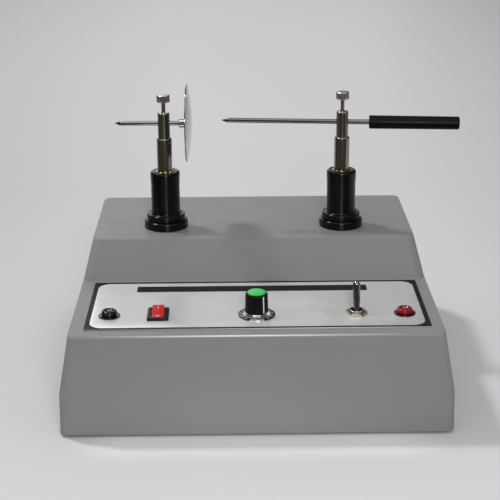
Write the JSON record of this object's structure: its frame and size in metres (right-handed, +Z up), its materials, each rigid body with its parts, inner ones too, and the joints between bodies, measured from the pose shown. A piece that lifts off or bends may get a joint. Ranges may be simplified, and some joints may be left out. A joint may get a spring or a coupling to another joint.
{
  "type": "induction coil",
  "caption": "Bench induction coil: two-tier case with a control panel, two insulated electrode stands with a sliding disc and needle, and the coil and driver inside.",
  "frame": {"origin": "on the bench, under the middle of the whole object's bounding box, from the left side of the case to the free end of the handle", "axes": "+X to the right along the row of two stands, +Y to the rear, +Z up; the control panel is at the -Y side"},
  "size_m": [0.3114, 0.27, 0.2258],
  "materials": {
    "case_paint": "fine satin grey",
    "base_steel": "dull dark paint",
    "black_rubber": "matt",
    "steel_screws": "plated, satin",
    "panel_aluminium": "satin silver with a dark printed border",
    "black_moulding": "moulded, slight gloss",
    "red_moulding": "moulded, slight gloss",
    "contact_brass": "bright",
    "nickel": "nickel-plated, turned",
    "dial_black": "printed dial",
    "aluminium_shaft": "turned",
    "knob_black": "ribbed, satin",
    "cap_green": "smooth",
    "pointer_white": "painted line",
    "chrome_lever": "bright",
    "gloss_black": "polished",
    "collar_brass": "bright, lacquered",
    "chrome_rod": "polished",
    "disc_steel": "polished face",
    "handle_black": "satin",
    "soft_iron": "varnished wires",
    "copper_wire": "enamelled winding",
    "paper_tube": "varnished insulation",
    "cheek_board": "laminated board",
    "lead_red": "silicone insulated",
    "board_green": "coated circuit board",
    "white_nylon": "natural nylon",
    "sink_black": "black anodised",
    "capacitor_blue": "sleeved"
  },
  "bodies": {
    "case": {"case_cover": "case_paint", "base_plate": "base_steel", "feet": "black_rubber", "foot_screws": "steel_screws", "base_screws": "steel_screws", "panel_plate": "panel_aluminium", "black_socket": "black_moulding", "red_socket": "red_moulding", "black_contact": "contact_brass", "red_contact": "contact_brass", "socket_washers": "black_moulding", "socket_nuts": "nickel", "rocker_frame": "black_moulding", "rocker_tabs": "contact_brass", "dial_plate": "dial_black", "pot_body": "steel_screws", "pot_tabs": "contact_brass", "pot_nut": "nickel", "toggle_body": "black_moulding", "toggle_tabs": "contact_brass", "toggle_nut": "nickel", "toggle_back_nut": "nickel", "left_insulator": "gloss_black", "right_insulator": "gloss_black", "post_collars": "collar_brass", "left_post": "nickel", "right_post": "nickel", "stud_washers": "nickel", "lead_lugs": "contact_brass", "stud_nuts": "nickel", "iron_core": "soft_iron", "primary_winding": "copper_wire", "coil_tube": "paper_tube", "secondary_sections": "copper_wire", "section_discs": "paper_tube", "coil_cheeks": "cheek_board", "cheek_screws": "steel_screws", "coil_leads": "lead_red", "driver_board": "board_green", "board_posts": "white_nylon", "board_screws": "steel_screws", "board_nuts": "steel_screws", "heat_sink": "sink_black", "power_transistor": "black_moulding", "capacitor": "capacitor_blue"},
    "rocker": {"rocker_paddle": "red_moulding"},
    "knob": {"knob": "knob_black", "knob_cap": "cap_green", "knob_pointer": "pointer_white", "pot_shaft": "aluminium_shaft"},
    "toggle": {"toggle_lever": "chrome_lever"},
    "left_stem": {"left_screw_stem": "nickel"},
    "left_thumbscrew": {"left_screw_head": "nickel"},
    "right_stem": {"right_screw_stem": "nickel"},
    "right_thumbscrew": {"right_screw_head": "nickel"},
    "left_electrode": {"left_rod": "chrome_rod", "disc_hub": "chrome_rod", "disc": "disc_steel"},
    "needle": {"needle_rod": "chrome_rod", "needle_handle": "handle_black"}
  },
  "joints": [
    {"name": "rocker_tilt", "type": "hinge", "parent": "case", "child": "rocker", "pos_m": [-0.08377, -0.0892, 0.0775], "axis": [-1, 0, 0], "range_deg": [0, 25]},
    {"name": "knob_turn", "type": "hinge", "parent": "case", "child": "knob", "pos_m": [-0.01027, -0.09, 0.088], "axis": [0, 0, 1], "range_deg": [0, 280]},
    {"name": "toggle_throw", "type": "hinge", "parent": "case", "child": "toggle", "pos_m": [0.06443, -0.09, 0.0765], "axis": [1, 0, 0], "range_deg": [0, 26]},
    {"name": "left_screw_rise", "type": "slide", "parent": "case", "child": "left_stem", "axis": [0, 0, 1], "range_m": [0, 0.0056]},
    {"name": "left_screw_turn", "type": "hinge", "parent": "left_stem", "child": "left_thumbscrew", "pos_m": [-0.08247, 0.037, 0.213], "axis": [0, 0, 1], "range_deg": [0, 2880]},
    {"name": "right_screw_rise", "type": "slide", "parent": "case", "child": "right_stem", "axis": [0, 0, 1], "range_m": [-0.0014, 0.0042]},
    {"name": "right_screw_turn", "type": "hinge", "parent": "right_stem", "child": "right_thumbscrew", "pos_m": [0.06173, 0.037, 0.213], "axis": [0, 0, 1], "range_deg": [-720, 2160]},
    {"name": "left_electrode_slide", "type": "slide", "parent": "case", "child": "left_electrode", "axis": [0.9998, -0.0209, 0], "range_m": [-0.0074, 0.008]},
    {"name": "needle_slide", "type": "slide", "parent": "case", "child": "needle", "axis": [0.9959, -0.0906, 0], "range_m": [-0.0155, 0.085]}
  ],
  "couplings": [
    {"joint": "left_screw_turn", "follows": "left_screw_rise", "rad_per_m": 8976},
    {"joint": "right_screw_turn", "follows": "right_screw_rise", "rad_per_m": 8976}
  ]
}
